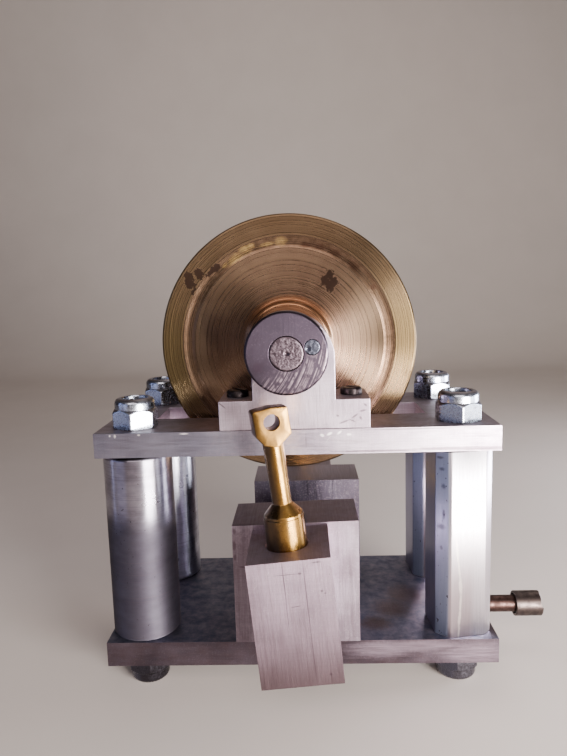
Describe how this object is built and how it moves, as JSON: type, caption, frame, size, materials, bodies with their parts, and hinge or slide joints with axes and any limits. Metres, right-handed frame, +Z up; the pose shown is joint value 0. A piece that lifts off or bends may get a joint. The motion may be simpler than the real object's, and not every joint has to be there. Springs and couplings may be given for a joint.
{
  "type": "model stationary steam engine with oscillating cylinders",
  "caption": "Small bench steam engine: brass flywheel in a slotted top plate on posts, rocking cylinder blocks on port blocks, loose piston rods.",
  "frame": {"origin": "on the table, under the middle of the whole engine's box", "axes": "+Z up, the front cylinder faces -Y, the air inlet stands out towards +X"},
  "size_m": [0.1484, 0.1168, 0.1533],
  "materials": {
    "sawn_plate": "sawn and rubbed",
    "turned_post": "turned bright",
    "squared_post": "milled flats",
    "stud_steel": "rolled thread",
    "zinc_nut": "bright zinc plate",
    "nylon": "moulded",
    "milled_block": "milled",
    "black_steel": "blackened",
    "pipe_copper": "drawn and tarnished",
    "sleeve_brass": "drawn and dull",
    "peened_steel": "turned end, peened",
    "wheel_brass": "turned and tarnished",
    "disc_steel": "faced",
    "pin_steel": "broken off flush",
    "cylinder_block": "milled with scribed lines",
    "spring_steel": "drawn wire",
    "rod_brass": "turned bright"
  },
  "bodies": {
    "frame": {"bottom_plate": "sawn_plate", "top_plate": "sawn_plate", "post_front_left": "turned_post", "post_rear_left": "turned_post", "post_front_right": "squared_post", "post_rear_right": "squared_post", "stud_front_left": "stud_steel", "stud_rear_left": "stud_steel", "stud_front_right": "stud_steel", "stud_rear_right": "stud_steel", "nut_top_front_left": "zinc_nut", "nut_top_rear_left": "zinc_nut", "nut_top_front_right": "zinc_nut", "nut_top_rear_right": "zinc_nut", "nut_foot_front_left": "zinc_nut", "nut_foot_rear_left": "zinc_nut", "nut_foot_front_right": "zinc_nut", "nut_foot_rear_right": "zinc_nut", "nylon_rings": "nylon", "bearing_block_front": "milled_block", "bearing_block_rear": "milled_block", "bearing_screws": "black_steel", "port_block_front": "milled_block", "port_block_rear": "milled_block", "inlet_pipe": "pipe_copper", "inlet_sleeve": "sleeve_brass"},
    "crankshaft": {"crankshaft": "peened_steel", "flywheel": "wheel_brass", "crank_disc_front": "disc_steel", "crank_disc_rear": "disc_steel", "crank_pin_front": "pin_steel", "crank_pin_rear": "pin_steel"},
    "front_cylinder": {"cylinder_front": "cylinder_block", "pivot_stud_front": "stud_steel", "pivot_spring_front": "spring_steel", "pivot_nut_front": "zinc_nut"},
    "rear_cylinder": {"cylinder_rear": "cylinder_block", "pivot_stud_rear": "stud_steel", "pivot_spring_rear": "spring_steel", "pivot_nut_rear": "zinc_nut"},
    "front_piston": {"piston_rod_front": "rod_brass"},
    "rear_piston": {"piston_rod_rear": "rod_brass"}
  },
  "joints": [
    {"name": "crank_turn", "type": "hinge", "parent": "frame", "child": "crankshaft", "pos_m": [-0.01365, 0, 0.1103], "axis": [0, 1, 0], "continuous": true},
    {"name": "front_rock", "type": "hinge", "parent": "frame", "child": "front_cylinder", "pos_m": [-0.01265, -0.0456, 0.0372], "axis": [0, 1, 0], "range_deg": [-3, 13]},
    {"name": "rear_rock", "type": "hinge", "parent": "frame", "child": "rear_cylinder", "pos_m": [-0.00885, 0.0456, 0.0372], "axis": [0, 1, 0], "range_deg": [-3, 13]},
    {"name": "front_slide", "type": "slide", "parent": "front_cylinder", "child": "front_piston", "axis": [-0.0889, 0, 0.996], "range_m": [0, 0.027]},
    {"name": "rear_slide", "type": "slide", "parent": "rear_cylinder", "child": "rear_piston", "axis": [-0.0889, 0, 0.996], "range_m": [0, 0.027]}
  ]
}
